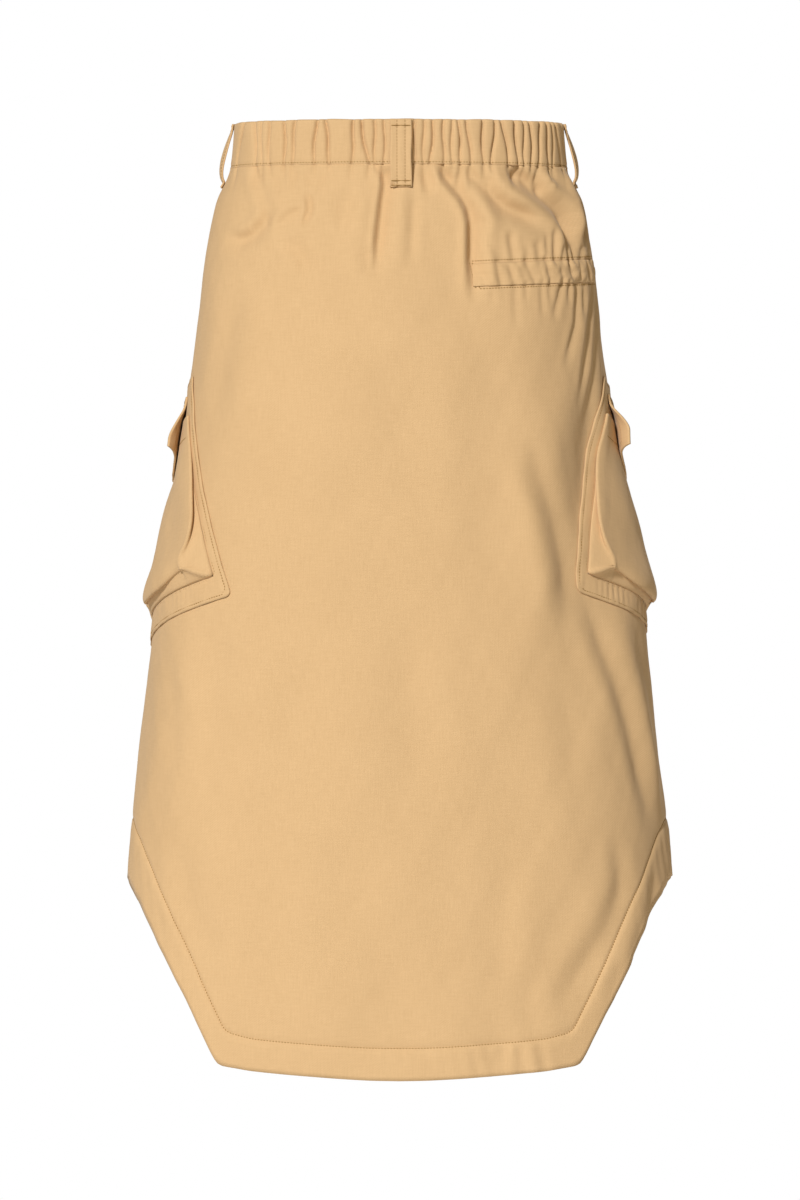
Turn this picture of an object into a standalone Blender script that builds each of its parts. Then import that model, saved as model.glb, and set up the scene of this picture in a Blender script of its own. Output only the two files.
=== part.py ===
"""Cargo utility skirt: a midi skirt of cotton twill, hollow, as it hangs on a general figure.

The mesh is in metres, +Z up, and the origin is the centre of the waist ring, half way up the
waistband. The skirt's back faces -Y and the wearer's right is +X. The sizes below are millimetres.

Every piece is made from the same cloth surface. A point on it has an arc, the distance along the
ring from centre back (positive towards +X), a height, and a distance out from the cloth.
"""

import math
from bisect import bisect_right
from collections import namedtuple
from functools import lru_cache

import bmesh
import bpy

MM = 0.001

# ---- Cloth and seams --------------------------------------------------------------------------
CLOTH_WALL = 1.5
HEM_WALL = 2.4
BAND_WALL = 2.6
LOOP_WALL = 1.8
SEAM_GAP = 0.3
LAY_GAP = 0.45

# ---- Heights ----------------------------------------------------------------------------------
BAND_TOP = 20.0
WAIST_SEAM = -20.0

# ---- The body of the skirt: horizontal sections from the waist to below the hem --------------
Section = namedtuple("Section", "height half_width back_depth front_depth squareness")
SECTIONS = (
    Section(20, 148, 94, 96, 0.016),
    Section(-20, 151, 96, 98, 0.016),
    Section(-48, 163, 105, 104, 0.018),
    Section(-75, 169, 113, 109, 0.018),
    Section(-102, 174, 119, 113, 0.020),
    Section(-156, 181, 130, 120, 0.020),
    Section(-196, 185.5, 136, 124, 0.020),
    Section(-300, 201, 142, 131, 0.022),
    Section(-426, 220.5, 147, 139, 0.022),
    Section(-547, 234, 151, 146, 0.024),
    Section(-651, 244, 154, 150, 0.024),
    Section(-833, 253, 153, 151, 0.024),
)
RING_STEPS = 180

# ---- The hem: shirt-tail curve, by distance along the cloth from the side seam ----------------
HemPoint = namedtuple("HemPoint", "from_side edge stitching")
HEM = (
    HemPoint(0, -654, -603),
    HemPoint(30, -659, -608),
    HemPoint(54, -672, -620),
    HemPoint(76, -690, -640),
    HemPoint(100, -719, -671),
    HemPoint(120, -751, -701),
    HemPoint(138, -781, -733),
    HemPoint(152, -805, -761),
    HemPoint(164, -818, -783),
    HemPoint(178, -823, -793),
    HemPoint(200, -825, -797),
    HemPoint(255, -829.5, -801),
    HemPoint(328, -833, -804),
)
HEM_FOLD = 2.0

# ---- Gathers of the elastic back waistband: arcs of each valley at the top and at the seam ----
Gather = namedtuple("Gather", "top seam depth")
GATHERS = (
    Gather(-155, -169, 2.2),
    Gather(-138, -137, 1.7),
    Gather(-130, -130, 1.5),
    Gather(-122, -121, 1.9),
    Gather(-105, -105, 2.2),
    Gather(-94, -98, 2.0),
    Gather(-74, -77, 2.3),
    Gather(-66, -62, 2.3),
    Gather(-40, -42, 2.2),
    Gather(-34, -27, 2.5),
    Gather(-22, -21, 1.8),
    Gather(-12.5, -13, 1.4),
    Gather(14, 13.5, 2.2),
    Gather(22, 22, 2.0),
    Gather(31, 28, 2.6),
    Gather(40, 40, 2.4),
    Gather(47, 47, 2.2),
    Gather(53, 56, 2.6),
    Gather(61, 65, 2.4),
    Gather(75, 76, 2.7),
    Gather(87, 84, 2.6),
    Gather(94, 101, 2.9),
    Gather(106, 110, 2.8),
    Gather(115, 117, 2.4),
    Gather(123, 125, 2.8),
    Gather(135, 132, 2.7),
    Gather(143, 146, 2.8),
    Gather(151, 153, 2.2),
    Gather(158, 168, 2.4),
    Gather(171, 184, 2.0),
)
GATHER_HALF_WIDTH = 2.6
GATHER_PUFF = 1.6
GATHER_AT_SEAM = 0.6
GATHER_END_FADE = 12.0

# ---- Folds of the hanging cloth: troughs have positive depth, ridges negative -----------------
# Each runs along its path of (arc, height); whole_start and whole_end keep an end at full depth.
Fold = namedtuple("Fold", "name half_width depth whole_start whole_end path")
FOLDS = (
    Fold("left_of_loop", 6, 3.4, True, False, ((-18, -20), (-13, -40), (-17, -82), (-18, -130))),
    Fold("left_drag", 7, 2.2, True, False, ((-80, -22), (-81, -50), (-86, -82))),
    Fold("left_smile", 9, 2.4, False, False, ((-176, -80), (-143, -88), (-127, -70), (-122, -50))),
    Fold("left_drag_end", 7, 1.8, False, False, ((-88, -62), (-107, -73), (-118, -88))),
    Fold("left_dimple", 7, 1.6, False, False, ((-106, -88), (-94, -95), (-85, -108))),
    Fold("left_gather", 6, 2.0, True, False, ((-100, -20), (-96, -46))),
    Fold("right_of_loop", 6, 2.0, True, False, ((20, -20), (24, -52))),
    Fold("centre_drag", 8, 3.2, True, False, ((34, -22), (53, -48), (63, -76), (65, -100))),
    Fold("middle_drag", 8, 3.0, True, False, ((56, -22), (76, -44), (100, -60), (130, -68))),
    Fold("hip_drag", 9, 4.2, True, False, ((96, -22), (113, -42), (136, -60), (152, -78), (172, -97))),
    Fold("hip_gather", 7, 2.6, True, False, ((122, -20), (130, -52))),
    Fold("hip_ridge", 9, -2.4, True, False, ((166, -22), (172, -53), (181, -72), (178, -95))),
    Fold("under_welt", 9, 2.6, False, False, ((166, -140), (169, -200), (160, -300), (150, -380))),
    Fold("side_fall", 8, 2.4, False, False, ((200, -138), (204, -176), (199, -205))),
    Fold("long_valley", 15, 5.0, False, False, ((134, -330), (150, -404), (194, -484), (234, -556), (264, -630))),
    Fold("long_ridge", 17, -3.5, False, False, ((222, -470), (256, -540), (280, -600), (298, -645))),
    Fold("left_fall", 22, 2.8, False, False, ((-165, -420), (-172, -520), (-176, -620))),
    Fold("left_side_fall", 14, 1.8, False, False, ((-224, -470), (-214, -560))),
    Fold("hem_fall_inner", 14, 2.2, False, True, ((96, -600), (92, -700), (88, -800))),
    Fold("hem_fall_outer", 13, 2.6, False, True, ((146, -640), (134, -720), (126, -800))),
    Fold("front_fall_left", 20, 3.2, False, False, ((-470, -300), (-480, -470), (-492, -640))),
    Fold("front_fall_right", 22, 3.6, False, False, ((462, -340), (476, -500), (494, -680))),
    Fold("front_hem_fall", 18, 2.6, False, True, ((-566, -560), (-572, -690), (-574, -800))),
    Fold("front_waist_left", 9, 2.0, True, False, ((-318, -20), (-330, -60), (-338, -120))),
    Fold("front_waist_right", 9, 2.2, True, False, ((306, -20), (316, -54), (322, -100))),
)
FOLD_LIP = 0.3
FOLD_LIP_PLACE = 1.9
FOLD_END = 0.35

# ---- Grids: columns around the cloth and rows down it -----------------------------------------
BACK_COLUMNS, BACK_ROWS = 60, 19
FRONT_COLUMNS, FRONT_ROWS = 34, 13
ROW_GROWTH = 1.4
BAND_BACK_COLUMNS, BAND_FRONT_COLUMNS, BAND_ROWS = 160, 34, 3

# ---- Belt loops: degrees round the ring from centre back, height of the foot, bow off the cloth
Loop = namedtuple("Loop", "name degrees foot bow")
LOOPS = (
    Loop("belt_loop_centre_back", 0.6, -41.0, 0.8),
    Loop("belt_loop_side_left", -90, -37.5, 4.2),
    Loop("belt_loop_side_right", 90, -37.5, 4.2),
    Loop("belt_loop_front_left", -146, -40.0, 1.6),
    Loop("belt_loop_front_right", 146, -40.0, 1.6),
)
LOOP_WIDTH = 19.0
LOOP_TOP = 19.0
LOOP_BOW_LOW = 0.6
LOOP_SEAT = 6.0
LOOP_COLUMNS, LOOP_ROWS = 2, 14

# ---- Back welt: the arcs of its two ends and the heights of its upper edge there --------------
WELT_ENDS = (67.0, 218.0)
WELT_UPPER_EDGE = (-110.0, -102.5)
WELT_HEIGHT = 20.0
WELT_COLUMNS, WELT_ROWS = 22, 2

# ---- Cargo pockets: a slanted patch across each side seam -------------------------------------
# Across a pocket is measured from its top back corner towards the front, down along its slant.
POCKET_CORNER = (30.0, -208.0)
POCKET_SLANT = math.radians(16)
Pocket = namedtuple("Pocket", "suffix side height bag_bottom bag_inset flap_inset")
POCKETS = (
    Pocket("left", -1, 219.0, 196.0, 11.0, 14.0),
    Pocket("right", 1, 211.0, 191.0, 13.0, 8.0),
)
# Where each patch's back edge lies across, at distances down it.
BackEdge = namedtuple("BackEdge", "down left right")
BACK_EDGES = (
    BackEdge(0, -1, -1),
    BackEdge(25, -9, -15),
    BackEdge(66, -18.5, -30),
    BackEdge(106, -28, -38.5),
    BackEdge(156, -39.5, -46),
    BackEdge(220, -53.5, -51),
)
PATCH_WIDTH = 135.0
FRONT_FLARE = math.radians(4)
BAG_MOUTH = 37.0
BagDepth = namedtuple("BagDepth", "down depth")
BAG_DEPTHS = (
    BagDepth(37, 6.6),
    BagDepth(70, 6.0),
    BagDepth(112, 7.8),
    BagDepth(142, 10.2),
    BagDepth(160, 11.9),
    BagDepth(178, 12.5),
    BagDepth(196, 12.5),
)
GUSSET_RUN = 13.0
FLAP_SEAM = 12.0
FLAP_SIDE_LENGTH, FLAP_POINT_LENGTH = 34.0, 60.0
FLAP_WIDTH = 102.0
FLAP_TIP = 0.25
FLAP_OVER_MOUTH = 22.0
FLAP_CURL = 9.0
FLAP_CURL_SHARPNESS = 2.4
PATCH_COLUMNS, PATCH_ROWS = 15, 14
BAG_COLUMNS, BAG_ROWS = 18, 12
FLAP_COLUMNS, FLAP_ROWS = 10, 7

# ---- Material: base colour as linear RGB ------------------------------------------------------
TWILL_COLOUR = (0.70, 0.46, 0.215, 1.0)
TWILL_ROUGHNESS = 0.85


def remove_startup_objects():
    for thing in list(bpy.data.objects):
        bpy.data.objects.remove(thing, do_unlink=True)


# ---- Curves through a table -------------------------------------------------------------------
def smooth_between(rows, key, value, at):
    """The value column read at a key, on a smooth curve through the table's rows."""
    keys = [row[key] for row in rows]
    if keys[0] > keys[-1]:
        rows, keys = rows[::-1], keys[::-1]
    at = min(max(at, keys[0]), keys[-1])
    i = min(max(bisect_right(keys, at) - 1, 0), len(rows) - 2)

    def slope(j):
        low, high = max(j - 1, 0), min(j + 1, len(rows) - 1)
        return (rows[high][value] - rows[low][value]) / (keys[high] - keys[low])

    span = keys[i + 1] - keys[i]
    t = (at - keys[i]) / span
    start, end = rows[i][value], rows[i + 1][value]
    return (
        (2 * t**3 - 3 * t**2 + 1) * start
        + (t**3 - 2 * t**2 + t) * span * slope(i)
        + (3 * t**2 - 2 * t**3) * end
        + (t**3 - t**2) * span * slope(i + 1)
    )


def eased(t):
    """0 to 1, with a level start and end."""
    t = min(max(t, 0.0), 1.0)
    return t * t * (3 - 2 * t)


def mix(a, b, t):
    return a + (b - a) * t


# ---- The ring at one height -------------------------------------------------------------------
@lru_cache(maxsize=None)
def section_at(height):
    return Section(height, *(smooth_between(SECTIONS, 0, column, height) for column in range(1, 5)))


def ring_point(angle, height):
    """(x, y) on the ring; the angle is 0 at centre back and 90 degrees at +X."""
    section = section_at(height)
    depth = section.back_depth if math.cos(angle) > 0 else section.front_depth
    square = section.squareness
    x = section.half_width * (math.sin(angle) + square * math.sin(3 * angle)) / (1 - square)
    y = -depth * (math.cos(angle) - square * math.cos(3 * angle)) / (1 - square)
    return x, y


def ring_normal(angle, height):
    """The level direction straight out of the ring."""
    section = section_at(height)
    depth = section.back_depth if math.cos(angle) > 0 else section.front_depth
    square = section.squareness
    along_x = section.half_width * (math.cos(angle) + 3 * square * math.cos(3 * angle))
    along_y = depth * (math.sin(angle) - 3 * square * math.sin(3 * angle))
    length = math.hypot(along_x, along_y)
    return along_y / length, -along_x / length


@lru_cache(maxsize=None)
def half_ring_arcs(height):
    """The distance along the ring from centre back, at equal steps of angle to centre front."""
    arcs = [0.0]
    before = ring_point(0, height)
    for step in range(1, RING_STEPS + 1):
        after = ring_point(math.pi * step / RING_STEPS, height)
        arcs.append(arcs[-1] + math.dist(before, after))
        before = after
    return arcs


def side_arc(height):
    """The arc of the side seam."""
    return half_ring_arcs(round(height, 1))[RING_STEPS // 2]


def front_arc(height):
    """The arc of centre front."""
    return half_ring_arcs(round(height, 1))[-1]


def arc_at(angle, height):
    arcs = half_ring_arcs(round(height, 1))
    place = abs(angle) / math.pi * RING_STEPS
    step = min(int(place), RING_STEPS - 1)
    return math.copysign(mix(arcs[step], arcs[step + 1], place - step), angle)


def angle_at(arc, height):
    arcs = half_ring_arcs(round(height, 1))
    step = min(max(bisect_right(arcs, abs(arc)) - 1, 0), RING_STEPS - 1)
    part = (abs(arc) - arcs[step]) / (arcs[step + 1] - arcs[step])
    return math.copysign(math.pi * (step + part) / RING_STEPS, arc)


# ---- Relief of the cloth: gathers and folds ---------------------------------------------------
def near_path(arc, height, path):
    """The distance from a path, and how far along it the nearest place is, from 0 to 1."""
    lengths = [math.dist(a, b) for a, b in zip(path, path[1:])]
    best = (math.inf, 0.0)
    passed = 0.0
    for (a, b), length in zip(zip(path, path[1:]), lengths):
        t = ((arc - a[0]) * (b[0] - a[0]) + (height - a[1]) * (b[1] - a[1])) / length**2
        t = min(max(t, 0.0), 1.0)
        distance = math.dist((arc, height), (mix(a[0], b[0], t), mix(a[1], b[1], t)))
        best = min(best, (distance, (passed + t * length) / sum(lengths)))
        passed += length
    return best


def fold_relief(fold, arc, height):
    distance, along = near_path(arc, height, fold.path)
    off = distance / fold.half_width
    if off > 4:
        return 0.0
    start = 1.0 if fold.whole_start else eased(along / FOLD_END)
    end = 1.0 if fold.whole_end else eased((1 - along) / FOLD_END)
    lip = FOLD_LIP * math.exp(-((off - FOLD_LIP_PLACE) ** 2))
    return fold.depth * start * end * (lip - math.exp(-(off**2)))


def panel_relief(arc, height):
    return sum(fold_relief(fold, arc, height) for fold in FOLDS)


def band_relief(arc, height):
    """Gathers of the back waistband: valleys between puffed ridges, calmer at the seam."""
    up = (height - WAIST_SEAM) / (BAND_TOP - WAIST_SEAM)
    end = eased((side_arc(height) - abs(arc)) / GATHER_END_FADE)
    strength = mix(GATHER_AT_SEAM, 1.0, eased(up * 2)) * end
    valleys = sum(
        gather.depth * math.exp(-(((arc - mix(gather.seam, gather.top, up)) / GATHER_HALF_WIDTH) ** 2))
        for gather in GATHERS
    )
    return strength * (GATHER_PUFF - valleys)


# ---- Points on the cloth ----------------------------------------------------------------------
def point_out(arc, height, out):
    """The point, in metres, this far out of the smooth ring."""
    angle = angle_at(arc, height)
    x, y = ring_point(angle, height)
    normal_x, normal_y = ring_normal(angle, height)
    return (x + normal_x * out) * MM, (y + normal_y * out) * MM, height * MM


def on_panel(arc, height, out=0.0):
    return point_out(arc, height, out + panel_relief(arc, height))


def seam_inset(arc_limit, arc):
    """An arc kept half a seam gap short of its seams, the same share all along."""
    return arc * (1 - SEAM_GAP / 2 / arc_limit)


# ---- Making a piece ---------------------------------------------------------------------------
def sheet(name, columns, rows, place, wall, outwards=False, mirrored=False):
    """A cloth piece: an open grid placed by place(across, up), both 0 to 1, with a wall added."""
    shape = bmesh.new()
    bmesh.ops.create_grid(shape, x_segments=columns, y_segments=rows, size=0.5)
    for vertex in shape.verts:
        vertex.co = place(vertex.co.x + 0.5, vertex.co.y + 0.5)
    if mirrored:
        bmesh.ops.reverse_faces(shape, faces=shape.faces)
    mesh = bpy.data.meshes.new(name)
    shape.to_mesh(mesh)
    shape.free()
    mesh.shade_smooth()
    piece = bpy.data.objects.new(name, mesh)
    skirt_collection.objects.link(piece)
    piece.data.materials.append(twill)
    thick = piece.modifiers.new("wall", "SOLIDIFY")
    thick.thickness = wall * MM
    thick.offset = 1 if outwards else -1
    return piece


def hem_height(share_from_side, column):
    return smooth_between(HEM, 0, column, share_from_side * HEM[-1].from_side)


def panel_heights(rows, up, share_from_side):
    """The height of a panel's row: spread down to the hem's fold, then the fold and the edge."""
    row = round((1 - up) * (rows + 2))
    fold = hem_height(share_from_side, 2)
    top = WAIST_SEAM - SEAM_GAP / 2
    if row <= rows:
        return mix(top, fold, (row / rows) ** ROW_GROWTH)
    return fold - HEM_FOLD if row == rows + 1 else hem_height(share_from_side, 1)


def thicken_hem(panel, rows):
    """The turned-up hem: full wall in the last rows, the plain cloth's wall above them."""
    group = panel.vertex_groups.new(name="hem")
    columns = len(panel.data.vertices) // (rows + 3)
    for vertex in panel.data.vertices:
        in_hem = vertex.index // columns < 2
        group.add([vertex.index], 1.0 if in_hem else CLOTH_WALL / HEM_WALL, "REPLACE")
    wall = panel.modifiers["wall"]
    wall.thickness = HEM_WALL * MM
    wall.vertex_group = group.name


def make_back_panel():
    def place(across, up):
        share = across * 2 - 1
        height = panel_heights(BACK_ROWS, up, 1 - abs(share))
        limit = side_arc(height)
        return on_panel(seam_inset(limit, share * limit), height)

    panel = sheet("back_panel", BACK_COLUMNS, BACK_ROWS + 2, place, CLOTH_WALL)
    thicken_hem(panel, BACK_ROWS)


def make_front_panel():
    def place(across, up):
        share = 1 - abs(across * 2 - 1)
        height = panel_heights(FRONT_ROWS, up, share)
        side, front = side_arc(height), front_arc(height)
        arc = mix(side + SEAM_GAP / 2, front, share)
        return on_panel(arc if across < 0.5 else -arc, height)

    panel = sheet("front_panel", FRONT_COLUMNS, FRONT_ROWS + 2, place, CLOTH_WALL)
    thicken_hem(panel, FRONT_ROWS)


def band_height(up):
    return mix(WAIST_SEAM + SEAM_GAP / 2, BAND_TOP, up)


def make_waistbands():
    def place_back(across, up):
        height = band_height(up)
        limit = side_arc(height)
        arc = seam_inset(limit, (across * 2 - 1) * limit)
        return point_out(arc, height, band_relief(arc, height))

    def place_front(across, up):
        height = band_height(up)
        share = 1 - abs(across * 2 - 1)
        arc = mix(side_arc(height) + SEAM_GAP / 2, front_arc(height), share)
        return point_out(arc if across < 0.5 else -arc, height, 0)

    sheet("waistband_back", BAND_BACK_COLUMNS, BAND_ROWS, place_back, BAND_WALL)
    sheet("waistband_front", BAND_FRONT_COLUMNS, BAND_ROWS, place_front, BAND_WALL)


def cloth_under_loop(loop, height):
    """How far the cloth under a belt loop stands out, at its proudest across the loop's width."""
    middle = arc_at(math.radians(loop.degrees), height)
    reach = [middle + LOOP_WIDTH * share for share in (-0.6, -0.4, -0.2, 0.0, 0.2, 0.4, 0.6)]
    if height < WAIST_SEAM:
        return max(panel_relief(arc, height) for arc in reach)
    limit = side_arc(height)
    return max(band_relief(arc, height) if abs(arc) < limit else 0.0 for arc in reach)


def make_belt_loop(loop):
    """A strip seated on the waistband's top and on the panel under the seam, bowed between them."""
    angle = math.radians(loop.degrees)

    def seated(height):
        x, y = ring_point(angle, height)
        normal_x, normal_y = ring_normal(angle, height)
        out = cloth_under_loop(loop, height) + LAY_GAP
        return x + normal_x * out, y + normal_y * out

    low_seat, high_seat = loop.foot + LOOP_SEAT, LOOP_TOP - LOOP_SEAT
    lower, upper = seated(low_seat), seated(high_seat)

    def place(across, up):
        height = mix(loop.foot, LOOP_TOP, up)
        normal_x, normal_y = ring_normal(angle, height)
        if low_seat < height < high_seat:
            t = (height - low_seat) / (high_seat - low_seat)
            bow = loop.bow * math.sin(math.pi * t**LOOP_BOW_LOW)
            x = mix(lower[0], upper[0], t) + normal_x * bow
            y = mix(lower[1], upper[1], t) + normal_y * bow
        else:
            x, y = seated(height)
        aside = (across - 0.5) * LOOP_WIDTH
        return (x - normal_y * aside) * MM, (y + normal_x * aside) * MM, height * MM

    sheet(loop.name, LOOP_COLUMNS, LOOP_ROWS, place, LOOP_WALL, outwards=True)


def make_welt():
    def place(across, up):
        arc = mix(*WELT_ENDS, across)
        height = mix(*WELT_UPPER_EDGE, across) - WELT_HEIGHT * (1 - up)
        return on_panel(arc, height, LAY_GAP)

    sheet("pocket_welt", WELT_COLUMNS, WELT_ROWS, place, CLOTH_WALL, outwards=True)


# ---- Cargo pockets ----------------------------------------------------------------------------
def pocket_point(pocket, across, down, out):
    """A point of a pocket: across and down are in the pocket's own slant."""
    from_seam = POCKET_CORNER[0] - across * math.cos(POCKET_SLANT) + down * math.sin(POCKET_SLANT)
    height = POCKET_CORNER[1] - across * math.sin(POCKET_SLANT) - down * math.cos(POCKET_SLANT)
    return on_panel(pocket.side * (side_arc(height) - from_seam), height, out)


def patch_edges(pocket, down, inset=0.0):
    """Where the patch's back and front edges are at this distance down."""
    back = smooth_between(BACK_EDGES, 0, 1 if pocket.side < 0 else 2, down) + inset
    front = PATCH_WIDTH + down * math.tan(FRONT_FLARE) - inset
    return back, front


def bag_depth(down):
    """How far the bag's face stands off the patch, from the mouth to the bottom gusset."""
    return smooth_between(BAG_DEPTHS, 0, 1, down)


def make_cargo_pocket(pocket):
    mirrored = pocket.side > 0

    def place_patch(across, up):
        down = pocket.height * (1 - up)
        back, front = patch_edges(pocket, down)
        return pocket_point(pocket, mix(front, back, across), down, LAY_GAP)

    def place_bag(across, up):
        """The face, with the gusset falling to the patch at both sides and the bottom."""
        foot = 2 * LAY_GAP + CLOTH_WALL
        down = mix(BAG_MOUTH, pocket.bag_bottom, 1 - up)
        back, front = patch_edges(pocket, down, pocket.bag_inset)
        place = mix(front, back, across)
        from_edge = min(place - back, front - place, pocket.bag_bottom - down)
        rise = eased(from_edge / GUSSET_RUN)
        return pocket_point(pocket, place, down, foot + (bag_depth(down) - foot) * rise)

    def place_flap(across, up):
        """Sewn down above the mouth, over the bag's mouth, with its corners standing off."""
        from_middle = abs(across * 2 - 1)
        length = mix(
            FLAP_POINT_LENGTH, FLAP_SIDE_LENGTH, max(0.0, (from_middle - FLAP_TIP) / (1 - FLAP_TIP))
        )
        along = length * (1 - up)
        down = FLAP_SEAM + along
        place = pocket.flap_inset + FLAP_WIDTH * (1 - across)
        seat = 2 * LAY_GAP + CLOTH_WALL
        over_bag = bag_depth(max(down, BAG_MOUTH)) + CLOTH_WALL + 2 * LAY_GAP
        out = mix(seat, over_bag, eased(along / FLAP_OVER_MOUTH))
        curl = FLAP_CURL * from_middle**FLAP_CURL_SHARPNESS * eased(along / FLAP_SIDE_LENGTH)
        return pocket_point(pocket, place, down, out + curl)

    for name, columns, rows, place in (
        ("cargo_patch", PATCH_COLUMNS, PATCH_ROWS, place_patch),
        ("cargo_pocket", BAG_COLUMNS, BAG_ROWS, place_bag),
        ("cargo_flap", FLAP_COLUMNS, FLAP_ROWS, place_flap),
    ):
        sheet(f"{name}_{pocket.suffix}", columns, rows, place, CLOTH_WALL, True, mirrored)


def make_twill():
    material = bpy.data.materials.new("twill")
    material.use_nodes = True
    shader = material.node_tree.nodes["Principled BSDF"]
    shader.inputs["Base Color"].default_value = TWILL_COLOUR
    shader.inputs["Roughness"].default_value = TWILL_ROUGHNESS
    shader.inputs["Metallic"].default_value = 0.0
    return material


remove_startup_objects()
twill = make_twill()
skirt_collection = bpy.data.collections.new("cargo_utility_skirt")
bpy.context.scene.collection.children.link(skirt_collection)
make_back_panel()
make_front_panel()
make_waistbands()
for each_loop in LOOPS:
    make_belt_loop(each_loop)
make_welt()
for each_pocket in POCKETS:
    make_cargo_pocket(each_pocket)
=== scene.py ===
"""Looks of the cargo utility skirt: thin twill shells, creases, stitching, light and camera."""

import math
from collections import namedtuple

import bpy
import numpy as np
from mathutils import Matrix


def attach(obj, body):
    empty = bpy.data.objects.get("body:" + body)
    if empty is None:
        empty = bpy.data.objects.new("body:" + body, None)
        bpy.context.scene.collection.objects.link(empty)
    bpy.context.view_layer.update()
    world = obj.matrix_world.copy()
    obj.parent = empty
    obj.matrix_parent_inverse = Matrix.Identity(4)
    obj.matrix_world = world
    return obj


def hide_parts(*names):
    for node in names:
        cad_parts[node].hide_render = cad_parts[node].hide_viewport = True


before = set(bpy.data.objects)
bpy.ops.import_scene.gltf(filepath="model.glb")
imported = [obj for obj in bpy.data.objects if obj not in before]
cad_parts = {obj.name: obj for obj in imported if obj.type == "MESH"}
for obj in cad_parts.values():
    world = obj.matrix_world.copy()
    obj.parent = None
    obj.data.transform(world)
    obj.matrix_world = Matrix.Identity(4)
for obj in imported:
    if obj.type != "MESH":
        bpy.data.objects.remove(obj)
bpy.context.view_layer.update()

MM = 0.001

# ---- Cloth (millimetres, as everything here unless it says otherwise)
CLOTH = 1.1
BAND_WALL = 2.4
SEAM_GAP = 0.3
SEAM_UNDER = 3.0
LAY_GAP = 0.3
BAND_TOP, WAIST_SEAM = 20.0, -20.0

# ---- The skirt's sections, as in the CAD
# height, half width, depth at the back, depth at the front, squareness
SECTIONS = np.array((
    (20, 148, 94, 96, 0.016),
    (-20, 151, 96, 98, 0.016),
    (-48, 163, 105, 104, 0.018),
    (-75, 169, 113, 109, 0.018),
    (-102, 174, 119, 113, 0.020),
    (-156, 181, 130, 120, 0.020),
    (-196, 185.5, 136, 124, 0.020),
    (-300, 201, 142, 131, 0.022),
    (-426, 220.5, 147, 139, 0.022),
    (-547, 234, 151, 146, 0.024),
    (-651, 244, 154, 150, 0.024),
    (-833, 253, 153, 151, 0.024),
))
RING_STEPS, SHARE_STEPS = 180, 128
TABLE_STEP = 4.0
TABLE_HEIGHTS = np.arange(-850.0, 31.0, TABLE_STEP)

# ---- The hem: distance from the side seam, the edge, the row of stitching
HEM = np.array((
    (0, -654, -603),
    (30, -658, -608),
    (54, -670, -620),
    (76, -687, -641),
    (100, -716, -670),
    (120, -745, -700),
    (138, -773, -730),
    (152, -797, -755),
    (160, -811, -769),
    (165, -818, -778),
    (170, -820.5, -786.5),
    (175, -821.5, -790.5),
    (182, -822.5, -792.8),
    (200, -825, -796.5),
    (255, -829.5, -801),
    (300, -832.3, -803.6),
    (328, -832.9, -804),
))

# ---- Gathers of the back waistband: arc at the top, arc at the seam, depth, half width
GATHERS = (
    (-155, -169, 3.2, 2.2), (-138, -137, 2.3, 2.6), (-130, -130, 1.9, 1.8),
    (-122, -121, 2.7, 2.2), (-105, -105, 3.2, 2), (-94, -98, 2.8, 2.4), (-74, -77, 3.2, 1.9),
    (-66, -62, 3.5, 2.2), (-40, -42, 3.1, 2.2), (-34, -27, 3.8, 2), (-22, -21, 2.6, 1.9),
    (-12.5, -13, 2.2, 1.6), (14, 13.5, 2.6, 1.7), (22, 22, 2.2, 2), (31, 28, 3, 2),
    (40, 40, 2.6, 2.2), (47, 47.5, 2.1, 2.2), (53, 56, 3, 2), (61, 65, 2.7, 2.2),
    (75, 76, 3, 2.1), (87, 84, 2.9, 1.9), (94, 101, 3.3, 2.3), (106, 110, 3.2, 2.2),
    (115, 117, 2.6, 1.9), (123, 125, 3.2, 2.1), (135, 132, 3, 2), (143, 146, 3.2, 2.2),
    (151, 153, 2.4, 1.8), (158, 168, 2.6, 2.2), (171, 184, 2.2, 2),
)
GATHER_PUFF = 2.1
GATHER_CREASE = 0.45
GATHER_AT_SEAM, GATHER_RUN = 0.62, 13.0

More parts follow.
